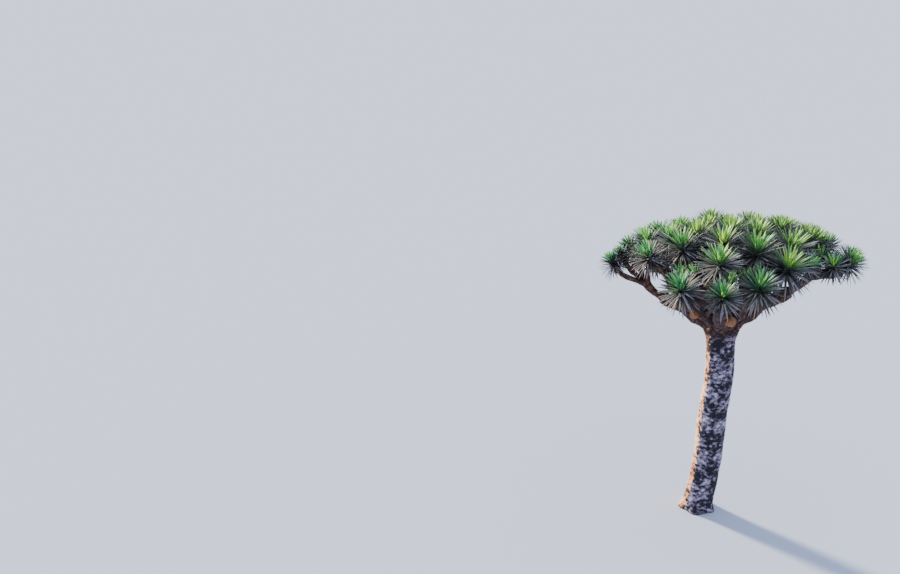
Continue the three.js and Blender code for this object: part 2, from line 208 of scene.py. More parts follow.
# Leaves
LEAVES = 150  # in one rosette
LEAF_LENGTH = 0.385  # in a rosette of size 1
LENGTH_RANGE = (0.86, 1.02)
YOUNG_SHARE = 0.8  # length of the youngest leaf, as a share of a grown one
GROWN_AGE = 0.3  # share of the leaves that are still growing
LEAF_WIDTH = 0.042
WIDTH_RANGE = (0.85, 1.1)
OLD_NARROWING = 0.3  # share of its width that the oldest leaf has lost
LEAF_THICKNESS = 0.005
LEAF_THINNING = 0.7  # share of its thickness that a leaf loses towards its tip
CHANNEL_DEPTH = 0.16
BEND_RANGE = (-0.05, 0.2)  # radians from root to tip
OLD_BEND = 0.35  # more for the oldest leaf
STATIONS = (0, 0.07, 0.3, 0.56, 0.8, 1)
STATION_WIDTH = (1.5, 1.08, 1, 0.84, 0.5, 0)
STEEPEST = math.radians(4)  # from the rosette's axis
LOWEST = math.radians(126)
SMALLEST_TILT = 0.02
TILT_SPREAD = 0.07
TURN_SPREAD = 0.08
AGE_POWER = 1.15
GOLDEN_ANGLE = math.pi * (3 - math.sqrt(5))
FIRST_ROOT = 1.02  # where on the core the youngest leaf starts
ROOTS_SPREAD = 0.92  # share of the core between the youngest leaf and the oldest
ROOT_RADIUS = (0.25, 0.4)  # share of the stem's radius, and more with age
HEART_CLEARANCE = 0.12  # from a leaf's middle and tip to another rosette
LIMB_CLEARANCE = 0.012
LEAF_MIDDLE = 0.6
NEAR_MARGIN = 0.3
SAME_PLACE = 1e-6

# Leaf kinds: name, the oldest age it is dealt to, and its shades
LEAF_KINDS = (
    # Young greens: partly the leaves' own colour, partly painted light for upright leaves lit through from
    # behind
    ("leaves_young", 0.13, ((0.36, 0.63, 0.11), (0.20, 0.52, 0.12), (0.105, 0.39, 0.15))),
    ("leaves_grown", 0.24, ((0.115, 0.225, 0.075), (0.066, 0.150, 0.066), (0.052, 0.130, 0.078))),
    # Old greys: partly the leaves' own colour, with painted shade in the dark shade and painted sky
    # reflection in the pale one
    ("leaves_old", 0.60, ((0.076, 0.086, 0.085), (0.225, 0.236, 0.250), (0.032, 0.038, 0.036))),
    ("leaves_oldest", 0.96, ((0.084, 0.077, 0.084), (0.215, 0.208, 0.227), (0.037, 0.032, 0.036))),
    ("leaves_dry", math.inf, ((0.16, 0.10, 0.055), (0.30, 0.23, 0.15))),
)
SHADES = 3
MIDDLE_SHADE = 0
# In the old kinds the pale shade is partly painted sky reflection
PALE_GLINT_SHADE = 1
DARK_SHADE = 2
AGE_SPREAD = 0.04
SUNLIT_YELLOW_HEIGHT = 4.85  # painted light: green leaves are yellowest, as if sunlit, from here up
SHADED_TEAL_DEPTH = 0.55  # and painted shade: most teal, as if shaded, from this far below
LEAN_SPREAD = 0.5
LEANING_SHARE = 0.6  # of a rosette's green leaves have the painted light and shade of its height
SUNLIT_BELOW = 0.25  # part of a leaf's way that runs along the key light
LEAF_BASE = (0.34, 0.26, 0.12)
BASE_FACES = 5

# Bark colours, from cracks to high spots of the noise
BARE_BARK = ((0.40, (0.008, 0.004, 0.005)), (0.50, (0.034, 0.014, 0.013)), (0.62, (0.15, 0.075, 0.058)))
GREY_CRUST = (
    (0.36, (0.010, 0.009, 0.014)),
    (0.44, (0.034, 0.028, 0.041)),
    (0.50, (0.108, 0.092, 0.136)),
    (0.66, (0.163, 0.142, 0.204)),
    (0.85, (0.41, 0.37, 0.475)),
)
# Painted sunlight: a warm cream copy of the crust, for the side that faces the key light
SUNLIT_CREAM_CRUST = (
    (0.40, (0.060, 0.028, 0.018)),
    (0.50, (0.37, 0.15, 0.066)),
    (0.62, (0.68, 0.35, 0.175)),
    (0.88, (0.88, 0.57, 0.34)),
)
LIMB_CRUST = ((0.3, (0.030, 0.020, 0.022)), (0.7, (0.13, 0.105, 0.118)))
YOUNG_BARK = ((0.28, (0.060, 0.022, 0.010)), (0.5, (0.24, 0.105, 0.042)), (0.75, (0.46, 0.25, 0.12)))

# Camera, fitted to the trunk, the fork and the rosettes
LENS = 34
CAMERA_PLACE = (0, -13.709, 7.818)
CAMERA_PITCH = 16.51  # degrees down
CAMERA_TURN = 18.10  # degrees to the left
CLIP_END = 3000

# Light: a low warm key from the left and behind, under an even pale sky
KEY_WAY = (0.787, -0.462, -0.409)  # of length 1
KEY_ENERGY = 13
KEY_COLOUR = (1.0, 0.86, 0.70)
KEY_ANGLE = math.radians(8)
SKY_COLOUR = (0.68, 0.75, 0.95)
SKY_STRENGTH = 1.7
FLOOR_HALF = 900

UP = np.array([0, 0, 1.0])
AHEAD = np.array([1.0, 0, 0])


def unit(v):
    return v / np.linalg.norm(v)


def mix(a, b, share):
    return a + (b - a) * share


def square_to(way):
    """A direction square to this one, and level unless this one is nearly upright."""
    return unit(np.cross(way, AHEAD if abs(way[2]) > NEARLY_UPRIGHT else UP))


class Wobble:
    """Numbers from -1 to 1, the same ones on every run."""

    MULTIPLIER = 16807
    MODULUS = 2147483647

    def __init__(self, seed):
        self.state = seed

    def __call__(self):
        self.state = self.state * self.MULTIPLIER % self.MODULUS
        return 2 * self.state / self.MODULUS - 1


wobble = Wobble(SEED)


def trunk_axis(height):
    share = height / FORK_HEIGHT
    lean = LEAN * (1 - math.exp(-height / LEAN_HEIGHT))
    sway = SWAY * share * math.sin(math.pi * SWAYS * share) ** 2
    return np.array([lean + sway, 0, height])


HEAD = trunk_axis(FORK_HEIGHT)


def trunk_radius(height, angle):
    foot = FOOT_SPREAD * math.exp(-height / FOOT_HEIGHT)
    lobes = 1 + BUTTRESS_SHARE * math.cos(BUTTRESSES * angle)
    low = NECK_STARTS * TRUNK_TOP
    high = TRUNK_TOP - HEAD_HEIGHT
    share = min(max((height - low) / (high - low), 0), 1)
    shaft = mix(TRUNK_RADIUS, NECK_RADIUS, share * share * (3 - 2 * share))
    head = math.exp(-(((height - FORK_HEIGHT) / HEAD_SPREAD) ** 2))
    return shaft + foot * lobes + (HEAD_RADIUS - NECK_RADIUS) * head


class Tip:
    """One rosette: the foot and the heart of its core, its axis, and its place round the crown."""

    def __init__(self, heart, axis, angle, reach, size, leaves):
        self.foot = heart - axis * CORE_LENGTH / 2
        self.heart = heart
        self.axis = axis
        self.angle = angle
        self.reach = reach
        self.size = size
        self.leaves = leaves


class Limb:
    """A tapering limb on a cubic curve. One with a core runs on straight past the curve's end."""

    def __init__(self, start, start_way, end, end_way, count, taper, core=0.0):
        handle = np.linalg.norm(end - start) * BEND
        self.points = (start, start + start_way * handle, end - end_way * handle, end)
        radius = TIP_RADIUS * count**RADIUS_POWER
        self.start_radius = radius * taper[0]
        self.end_radius = radius * taper[1]
        self.core = core

    def at(self, t):
        a, b, c, d = self.points
        s = 1 - t
        return a * s**3 + b * 3 * s * s * t + c * 3 * s * t * t + d * t**3

    def way(self, t):
        a, b, c, d = self.points
        s = 1 - t
        return unit((b - a) * s * s + (c - b) * 2 * s * t + (d - c) * t * t)

    def radius(self, t):
        plain = mix(self.start_radius, self.end_radius, t)
        if self.core:
            return plain
        knuckle = math.exp(-(((t - KNUCKLE_AT) / KNUCKLE_SPREAD) ** 2))
        waist = math.exp(-(((t - WAIST_AT) / KNUCKLE_SPREAD) ** 2))
        return plain * (1 + KNUCKLE_SWELL * knuckle - WAIST_DEPTH * waist)

    def cap_radius(self):
        """Radius where the rounded end starts."""
        return self.radius(1.0) * (1 - CORE_TAPER if self.core else 1)

    def far_end(self):
        """The middle of the rounded end."""
        return self.at(1.0) + self.way(1.0) * (self.core + self.cap_radius() * CAP_LENGTH)

    def length(self):
        places = [self.at(t) for t in np.linspace(0, 1, LENGTH_POINTS)]
        return sum(np.linalg.norm(b - a) for a, b in zip(places, places[1:]))

    def carries(self, tip):
        return np.linalg.norm(self.points[3] - tip.foot) < SAME_PLACE

    def spine(self):
        """Balls along the curve: each one's middle and radius."""
        shares = np.linspace(0, 1, SPINE_POINTS)
        return np.array([[*self.at(t), self.radius(t)] for t in shares])


# Growth


def dome_height(reach, x):
    return DOME_TOP - DOME_DROP * (reach / DOME_REACH) ** DOME_POWER + math.tan(DOME_TILT) * x


def rosettes_of(azimuth, reach, fan, limb_size, rows):
    tips = []
    for row, count in enumerate(rows):
        for i in range(count):
            across = (i + 0.5) / count - 0.5
            angle = math.radians(azimuth + fan * across + JITTER_ANGLE * wobble())
            bulge = 1 - RIM_BULGE * across * across
            out = reach * ROW_REACH[row] * bulge * (1 + JITTER_REACH * wobble())
            x = out * math.cos(angle)
            y = out * math.sin(angle)
            z = dome_height(out, x) + JITTER_HEIGHT * wobble()
            tilt = OUTWARD_TILT * (out / DOME_REACH) ** TILT_POWER
            axis = unit(np.array([tilt * math.cos(angle), tilt * math.sin(angle), 1]))
            size = limb_size * (1 + JITTER_SIZE * wobble())
            heart = np.array([HEAD[0] + x, HEAD[1] + y, z])
            tips.append(Tip(heart, axis, angle, out, size, LEAVES))
    return tips


def halves(tips):
    """A limb's rosettes in two groups, parted along whichever way they spread more."""
    reaches = [tip.reach for tip in tips]
    angles = [tip.angle for tip in tips]
    middle = sum(reaches) / len(tips)
    outward = max(reaches) - min(reaches) > (max(angles) - min(angles)) * middle
    ordered = sorted(tips, key=lambda tip: tip.reach if outward else tip.angle)
    cut = math.ceil(len(ordered) / 2)
    return ordered[:cut], ordered[cut:]


def fork_point(start, tips, level, steep):
    middle = sum(tip.foot for tip in tips) / len(tips)
    out = FORK_SHARE_OUT[level]
    return start + (middle - start) * np.array([out, out, FORK_SHARE_UP[level] * steep])


def turned(way, towards, level):
    """The way a limb of this level sets out, turned towards where it goes."""
    return unit(mix(way, towards, TURN[level]))


boughs = []
stems = []
tips_of_tree = []


def grow_mass(start, way, tips, steep):
    """The forked stem of one mass, or a lone stem."""
    tips_of_tree.extend(tips)
    if len(tips) == 1:
        tip = tips[0]
        first = turned(way, unit(tip.foot - start), STEM_LEVEL)
        stems.append(Limb(start, first, tip.foot, tip.axis, 1, LONE_TAPER, CORE_LENGTH))
        return
    fork = fork_point(start, tips, STEM_LEVEL, steep)
    first = turned(way, unit(fork - start), STEM_LEVEL)
    last = unit(mix(unit(fork - start), UP, RISE[STEM_LEVEL]))
    stems.append(Limb(start, first, fork, last, len(tips), FORK_TAPER))
    for tip in tips:
        leaving = turned(last, unit(tip.foot - fork), STEM_LEVEL)
        stems.append(Limb(fork, leaving, tip.foot, tip.axis, 1, TIP_TAPER, CORE_LENGTH))


def grow_limb(start, way, tips, level, steep):
    """A bough, and the second boughs or masses that it forks into."""
    fork = fork_point(start, tips, level, steep)
    first = turned(way, unit(fork - start), level)
    last = unit(mix(unit(fork - start), UP, RISE[level] + RISE_JITTER * wobble()))
    limb = Limb(start, first, fork, last, len(tips), BOUGH_TAPER)
    boughs.append(limb)
    next_start = limb.at(KNUCKLE_AT)
    leaving = limb.way(KNUCKLE_AT)
    if len(tips) <= TIPS_PER_MASS:
        grow_mass(next_start, leaving, tips, steep)
        return
    for part in halves(tips):
        if level == 0:
            grow_limb(next_start, leaving, part, 1, steep)
        else:
            grow_mass(next_start, leaving, part, steep)


for azimuth, reach, fan, steep, size, rows in LIMBS:
    turn = math.radians(azimuth)
    start_way = unit(np.array([math.cos(turn), math.sin(turn), FIRST_RISE * steep]))
    grow_limb(HEAD, start_way, rosettes_of(azimuth, reach, fan, size, rows), 0, steep)


side_twigs = []


def reach_of(place):
    """How far a place is from the upright line through the head."""
    return math.hypot(place[0] - HEAD[0], place[1])


def side_place(limb, share, length, hearts):
    """The emptiest place round a limb for a small rosette: its room, heart and the way to it."""
    start = limb.at(share)
    way = limb.way(share)
    across = square_to(way)
    other = np.cross(across, way)
    places = []
    for i in range(SIDE_TURNS):
        turn = 2 * math.pi * i / SIDE_TURNS
        out = unit(way * SIDE_ALONG + across * math.cos(turn) + other * math.sin(turn))
        heart = start + out * length
        reach = reach_of(heart)
        depth = dome_height(reach, heart[0] - HEAD[0]) - heart[2]
        deepest = mix(*SIDE_DEEPEST, reach / SIDE_REACH)
        if SIDE_DEPTH < depth < deepest and out[2] > SIDE_LOWEST:
            room = min(np.linalg.norm(heart - other_heart) for other_heart in hearts)
            places.append((room, heart, out))
    return max(places, key=lambda place: place[0], default=(0, None, None))


def grow_side_twigs(limbs, length, least_room):
    hearts = [tip.heart for tip in tips_of_tree]
    for limb in limbs:
        for share in SIDE_SHARES:
            room, heart, out = side_place(limb, share, length, hearts)
            if room < least_room:
                continue
            axis = unit(mix(out, UP, SIDE_UPTURN))
            size = SIDE_SIZE * (1 + JITTER_SIZE * wobble())
            tip = Tip(heart, axis, math.atan2(out[1], out[0]), reach_of(heart), size, SIDE_LEAVES)
            start = limb.at(share)
            first = turned(limb.way(share), out, STEM_LEVEL)
            side_twigs.append(Limb(start, first, tip.foot, axis, SIDE_COUNT, SIDE_TAPER, CORE_LENGTH))
            tips_of_tree.append(tip)
            hearts.append(heart)


grow_side_twigs([stem for stem in stems if stem.core], SIDE_LENGTH, SIDE_ROOM)
grow_side_twigs(boughs, INNER_LENGTH, INNER_ROOM)


def grow_stub(bough, share, out):
    start = bough.at(share)
    way = unit(np.array(out))
    return Limb(start, way, start + way * STUB_LENGTH, way, STUB_COUNT, STUB_TAPER)


stubs = [grow_stub(boughs[index], share, out) for index, share, out in STUBS]
spine_of = {limb: limb.spine() for limb in (*boughs, *stems, *side_twigs, *stubs)}


# Mesh helpers


class Part:
    """Vertices and faces gathered for one piece, with a number or two kept at each vertex."""

    def __init__(self):
        self.points = []
        self.faces = []
        self.values = []
        self.count = 0

    def add(self, points, faces, values):
        self.points.append(points)
        self.faces.append(faces + self.count)
        self.values.append(values)
        self.count += len(points)


def mesh_of(name, points, faces):
    """A smooth-shaded mesh. Three-sided faces repeat a corner."""
    sizes = np.where(faces[:, 2] == faces[:, 3], 3, 4)
    keep = np.ones(faces.shape, bool)
    keep[:, 3] = sizes == 4
    corners = faces[keep]
    starts = np.concatenate(([0], np.cumsum(sizes)[:-1]))
    mesh = bpy.data.meshes.new(name)
    mesh.vertices.add(len(points))
    mesh.loops.add(len(corners))
    mesh.polygons.add(len(faces))
    mesh.vertices.foreach_set("co", points.astype(np.float32).ravel())
    mesh.loops.foreach_set("vertex_index", corners.astype(np.int32))
    mesh.polygons.foreach_set("loop_start", starts.astype(np.int32))
    mesh.polygons.foreach_set("use_smooth", np.ones(len(faces), bool))
    return mesh


def build_piece(name, part, materials, nodes, value_names=(), face_materials=None):
    """A mesh object that replaces nodes, with its materials and its numbers at the vertices."""
    mesh = mesh_of(name, np.concatenate(part.points), np.concatenate(part.faces))
    for material in materials:
        mesh.materials.append(material)
    if face_materials is not None:
        mesh.polygons.foreach_set("material_index", face_materials.astype(np.int32))
    mesh.update(calc_edges=True)
    mesh.validate()
    for column, value_name in enumerate(value_names):
        values = np.concatenate(part.values)[:, column]
        attribute = mesh.attributes.new(value_name, "FLOAT", "POINT")
        attribute.data.foreach_set("value", values.astype(np.float32))
    piece = bpy.data.objects.new(name, mesh)
    bpy.context.scene.collection.objects.link(piece)
    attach(piece, "root")
    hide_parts(*nodes)


def ring_faces(rings, sides):
    """Quads between rings, and a fan of triangles to a middle point at each end."""
    i = np.arange(rings - 1)[:, None] * sides
    j = np.arange(sides)[None, :]
    k = (j + 1) % sides
    quads = np.stack([i + j, i + k, i + sides + k, i + sides + j], -1).reshape(-1, 4)
    j = j.ravel()
    k = k.ravel()
    last = (rings - 1) * sides
    low_middle = np.full(sides, rings * sides)
    high_middle = low_middle + 1
    low = np.stack([k, j, low_middle, low_middle], -1)
    high = np.stack([last + j, last + k, high_middle, high_middle], -1)
    return np.concatenate([quads, low, high])


def fractal(points, size, octaves, offset=0.0):
    """Layered noise from about -1 to 1, with features of this size."""
    shift = Vector((offset, 0, 0))
    places = [Vector(point) / size + shift for point in points]
    return np.array([noise.fractal(place, NOISE_FADE, NOISE_STEP, octaves) for place in places])


def smooth_step(x, low, high):
    share = np.clip((x - low) / (high - low), 0, 1)
    return share * share * (3 - 2 * share)


def gaps_to(spine, points):
    """From each point to the nearest of a spine's balls, and less than 0 inside one."""
    gaps = np.linalg.norm(points[:, None, :] - spine[None, :, :3], axis=2) - spine[None, :, 3]
    return gaps.min(axis=1)


def fillet(points, outward, spines, reach):
    """Pushes points out near other limbs, so that a fork fills like a web of bark."""
    near = np.full(len(points), np.inf)
    for spine in spines:
        lowest = spine[:, :3].min(axis=0) - SPINE_MARGIN
        highest = spine[:, :3].max(axis=0) + SPINE_MARGIN
        close = np.flatnonzero(np.all((points > lowest) & (points < highest), axis=1))
        if len(close) > 0:
            near[close] = np.minimum(near[close], gaps_to(spine, points[close]))
    share = np.clip(1 - np.abs(near) / reach, 0, 1)
    return points + outward * (share**2 * reach * FILLET_HEIGHT)[:, None]


# Bark


def trunk_spine():
    heights = np.linspace(0, FORK_HEIGHT, TRUNK_SPINE_POINTS)
    return np.array([[*trunk_axis(h), trunk_radius(h, 0)] for h in heights])


def trunk_grid():
    """The smooth trunk, ring by ring from the foot: its points and the way out at each."""
    points = []
    outward = []
    for ring in range(TRUNK_RINGS):
        height = TRUNK_TOP * ring / (TRUNK_RINGS - 1)
        middle = trunk_axis(height)
        above = max((height - FORK_HEIGHT) / (HEAD_HEIGHT / 2), 0)
        top = math.sqrt(max(1 - above**2, FLAT_SHARE))
        for side in range(TRUNK_SIDES):
            angle = 2 * math.pi * side / TRUNK_SIDES
            way = np.array([math.sin(angle), -math.cos(angle), 0])
            points.append(middle + way * trunk_radius(height, angle) * top)
            outward.append(way)
    return np.array(points), np.array(outward)


def trunk_crust(height, broad, patches, painted_sunlight):
    """How thick the crusts are."""
    crust = CRUST_PLAIN + CRUST_BROAD * broad + CRUST_PATCHES * patches + CRUST_SUNLIT_PAINT * painted_sunlight
    return crust - CRUST_LOST_HIGH * smooth_step(height, DARK_FROM, BARE_FROM)


def trunk_relief(height, lumps, patches, grain, crust):
    """How far the bark stands out from the smooth trunk."""
    wander = WRINKLE_WANDER[0] * lumps + WRINKLE_WANDER[1] * patches
    wrinkles = np.sin(height * 2 * math.pi / WRINKLE_SPACING + wander)
    relief = LUMP_RELIEF * lumps + CRUST_RELIEF * smooth_step(crust, *CRUST_EDGE)
    return relief + PATCH_RELIEF * patches + GRAIN_RELIEF * grain + WRINKLE_RELIEF * wrinkles


def trunk_part(neighbours):
    """The trunk as a closed tube with its relief, how crusted it is, where sunlight is painted on its
    side, and how bare its top is, which is partly painted shade.
    """
    points, outward = trunk_grid()
    points = fillet(points, outward, neighbours, FILLET)
    height = points[:, 2]
    stretched = points * TRUNK_STRETCH
    lumps = fractal(points, *TRUNK_LUMPS)
    broad = fractal(stretched, *TRUNK_BROAD)
    patches = fractal(stretched, *TRUNK_PATCHES)
    grain = fractal(stretched, *TRUNK_GRAIN)
    # Painted sunlight on the side that faces the key light
    painted_sunlight = smooth_step(outward @ SUNLIT_PAINT_WAY + SUNLIT_PAINT_WANDER * patches, *SUNLIT_PAINT_EDGE)
    # A bare top that is darker partly as painted shade under the crown
    bare_and_shaded = smooth_step(height + BARE_WANDER * patches, BARE_FROM, TRUNK_TOP)
    bare_and_shaded = bare_and_shaded * (1 - SUNLIT_PAINT_HOLD * painted_sunlight)
    crust = trunk_crust(height, broad, patches, painted_sunlight)
    relief = trunk_relief(height, lumps, patches, grain, crust)
    # Crusts at the foot are darker, but stand out as far
    crust = crust - CRUST_LOST_LOW * (1 - smooth_step(height, *LOW_HEIGHTS))
    points = points + outward * relief[:, None]
    points[:TRUNK_SIDES, 2] = 0
    ends = np.array([trunk_axis(0), trunk_axis(TRUNK_TOP)])
    values = np.concatenate([np.stack([crust, painted_sunlight, bare_and_shaded], axis=1), np.zeros((2, 3))])
    part = Part()
    part.add(np.concatenate([points, ends]), ring_faces(TRUNK_RINGS, TRUNK_SIDES), values)
    return part


def limb_stations(limb, step):
    """Rings along a limb: share of its curve, distance past its end, and share of its radius."""
    rings = max(int(limb.length() / step), FEWEST_RINGS)
    stations = [(t, 0.0, 1.0) for t in np.linspace(0, 1, rings)]
    if limb.core:
        shares = np.linspace(1 / CORE_RINGS, 1, CORE_RINGS)
        stations += [(1.0, limb.core * share, 1 - CORE_TAPER * share) for share in shares]
    cap_radius = limb.cap_radius()
    for i in range(1, CAP_RINGS):
        turn = math.pi / 2 * i / CAP_RINGS
        past = limb.core + cap_radius * CAP_LENGTH * math.sin(turn)
        stations.append((1.0, past, math.cos(turn) * cap_radius / limb.radius(1.0)))
    return stations


def limb_grid(limb, stations, sides):
    """The smooth limb: its points, the way out at each, and how far along the limb it is."""
    across = square_to(unit(limb.points[3] - limb.points[0]))
    length = limb.length()
    points = []
    outward = []
    along = []
    for t, extra, scale in stations:
        way = limb.way(t)
        side = unit(across - way * np.dot(across, way))
        other = np.cross(side, way)
        middle = limb.at(t) + way * extra
        radius = limb.radius(t) * scale
        for i in range(sides):
            angle = 2 * math.pi * i / sides
            around = side * math.sin(angle) + other * math.cos(angle)
            points.append(middle + around * radius)
            outward.append(around)
            along.append(t * length + extra)
    return np.array(points), np.array(outward), np.array(along)


def limb_tube(limb, sides, step, neighbours, reach, youth):
    """One limb as a closed tube with a rounded end and relief, and how young its bark is."""
    stations = limb_stations(limb, step)
    points, outward, along = limb_grid(limb, stations, sides)
    points = fillet(points, outward, neighbours, reach)
    lumps = fractal(points, *LIMB_LUMPS)
    patches = fractal(points, *LIMB_PATCHES)
    rings = np.sin(along * 2 * math.pi / RING_SPACING + RING_WANDER * patches)
    rough = LIMB_LUMP_RELIEF * lumps + LIMB_PATCH_RELIEF * patches
    relief = limb.end_radius / THICK_LIMB * rough + RING_RELIEF * rings
    points = points + outward * relief[:, None]
    ends = np.array([limb.at(0), limb.far_end()])
    young = mix(*youth, np.clip(along / limb.length(), 0, 1))
    values = np.concatenate([young, youth])[:, None]
    return np.concatenate([points, ends]), ring_faces(len(stations), sides), values


def limbs_part(limbs, sides, step, reach, youth):
    part = Part()
    trunk = trunk_spine()
    for limb in limbs:
        neighbours = [spine for other, spine in spine_of.items() if other is not limb]
        part.add(*limb_tube(limb, sides, step, [*neighbours, trunk], reach, youth))
    return part


# Leaves

Leaves = namedtuple("Leaves", "roots ways faces_up lengths widths bends ages")


def leaf_ways(tip, ages, random):
    """For each leaf of a rosette, the way round its axis, the leaf's own way and its upper side."""
    high = math.cos(STEEPEST)
    low = math.cos(LOWEST)
    tilts = np.arccos(high + (low - high) * ages**AGE_POWER) + random.normal(0, TILT_SPREAD, len(ages))
    tilts = np.clip(tilts, SMALLEST_TILT, LOWEST)[:, None]
    turns = random.uniform(0, 2 * math.pi) + np.arange(len(ages)) * GOLDEN_ANGLE
    turns = (turns + random.normal(0, TURN_SPREAD, len(ages)))[:, None]
    side = np.array([-math.sin(tip.angle), math.cos(tip.angle), 0])
    other = np.cross(tip.axis, side)
    around = side * np.cos(turns) + other * np.sin(turns)
    ways = tip.axis * np.cos(tilts) + around * np.sin(tilts)
    faces_up = tip.axis * np.sin(tilts) - around * np.cos(tilts)
    return around, ways, faces_up


def grow_rosette(tip, random):
    """A rosette's leaves, from the youngest in its middle to the oldest, which hang."""
    count = tip.leaves
    ages = (np.arange(count) + 0.5) / count
    around, ways, faces_up = leaf_ways(tip, ages, random)
    radii = TIP_RADIUS * (ROOT_RADIUS[0] + ROOT_RADIUS[1] * np.sqrt(ages))
    heights = CORE_LENGTH * (FIRST_ROOT - ROOTS_SPREAD * ages)
    roots = tip.foot + tip.axis * heights[:, None] + around * radii[:, None]
    young = mix(YOUNG_SHARE, 1, smooth_step(ages, 0, GROWN_AGE))
    lengths = LEAF_LENGTH * tip.size * young * random.uniform(*LENGTH_RANGE, count)
    widths = LEAF_WIDTH * math.sqrt(tip.size) * random.uniform(*WIDTH_RANGE, count)
    widths = widths * (1 - OLD_NARROWING * ages)
    bends = random.uniform(*BEND_RANGE, count) + OLD_BEND * ages
    return Leaves(roots, ways, faces_up, lengths, widths, bends, ages)


def clear_leaves(leaves, other_hearts, spine):
    """Those of a rosette's leaves that stay clear of other rosettes and of the limbs."""
    keep = np.ones(len(leaves.ages), bool)
    for share in (LEAF_MIDDLE, 1):
        places = leaves.roots + leaves.ways * (leaves.lengths * share)[:, None]
        apart = np.linalg.norm(places[:, None, :] - other_hearts[None, :, :], axis=2)
        keep &= apart.min(axis=1) > HEART_CLEARANCE
        keep &= gaps_to(spine, places) > LIMB_CLEARANCE
    return Leaves(*(values[keep] for values in leaves))


def deal_shades(tip, leaves, random):
    """Painted light and shade: green leaves lean to yellow high up, where the crown is sunlit, and to teal
    low down in its shade. Old ones get painted shade, darker shades, where they point towards the key
    light, and painted light, paler shades, where they point away.
    """
    count = len(leaves.ages)
    # Painted light and shade: the higher a rosette, the yellower its green leaves
    depth = (SUNLIT_YELLOW_HEIGHT - tip.heart[2]) / SHADED_TEAL_DEPTH
    lean = np.clip(round(2 * depth + random.normal(0, LEAN_SPREAD)), 0, SHADES - 1)
    old = leaves.ages >= GROWN_AGE
    leaning = ~old & (random.random(count) < LEANING_SHARE)
    shades = np.where(leaning, lean, random.integers(0, SHADES, count))
    # Painted shade on old leaves that point towards the key light, and painted light on half of the dark
    # ones that point away
    sunlit = leaves.ways @ KEY_WAY < SUNLIT_BELOW
    every_other = np.arange(count) % 2 == 0
    shades[old & sunlit & (shades == PALE_GLINT_SHADE)] = MIDDLE_SHADE
    shades[old & ~sunlit & every_other & (shades == DARK_SHADE)] = PALE_GLINT_SHADE
    return shades


def grow_leaves(random):
    """Every rosette's leaves in one row, and their shades."""
    hearts = np.array([tip.heart for tip in tips_of_tree])
    rosettes = []
    shades = []
    for index, tip in enumerate(tips_of_tree):
        spine = np.concatenate([spine for limb, spine in spine_of.items() if not limb.carries(tip)])
        near = np.linalg.norm(spine[:, :3] - tip.heart, axis=1) < LEAF_LENGTH + NEAR_MARGIN
        other_hearts = np.delete(hearts, index, axis=0)
        leaves = clear_leaves(grow_rosette(tip, random), other_hearts, spine[near])
        rosettes.append(leaves)
        shades.append(deal_shades(tip, leaves, random))
    return Leaves(*(np.concatenate(column) for column in zip(*rosettes))), np.concatenate(shades)


def leaf_points(leaves):
    """Closed keeled blades: four corners at each station and one point at the tip."""
    cross = np.cross(leaves.ways, leaves.faces_up)
    rows = []
    place = leaves.roots
    last = 0.0
    for share, wide in zip(STATIONS, STATION_WIDTH):
        turn = (leaves.bends * (share + last) / 2)[:, None]
        heading = leaves.ways * np.cos(turn) - leaves.faces_up * np.sin(turn)
        place = place + heading * (leaves.lengths * (share - last))[:, None]
        last = share
        if share == 1:
            rows.append(place[:, None, :])
            continue
        turn = (leaves.bends * share)[:, None]
        normal = leaves.faces_up * np.cos(turn) + leaves.ways * np.sin(turn)
        half = (leaves.widths * wide / 2)[:, None]
        edge = place + normal * half * CHANNEL_DEPTH
        bottom = place - normal * LEAF_THICKNESS * (1 - LEAF_THINNING * share)
        rows.append(np.stack([edge - cross * half, place, edge + cross * half, bottom], axis=1))
    return np.concatenate(rows, axis=1)


def leaf_faces():
    """Faces of one blade: its base cap first, then four round each stretch, then its tip."""
    faces = [(0, 1, 2, 3)]
    tip = 4 * (len(STATIONS) - 1)
    last = tip - 4
    for a in range(0, last, 4):
        for i in range(4):
            j = (i + 1) % 4
            faces.append((a + j, a + i, a + 4 + i, a + 4 + j))
    for i in range(4):
        faces.append((last + (i + 1) % 4, last + i, tip, tip))
    return np.array(faces)


# Materials


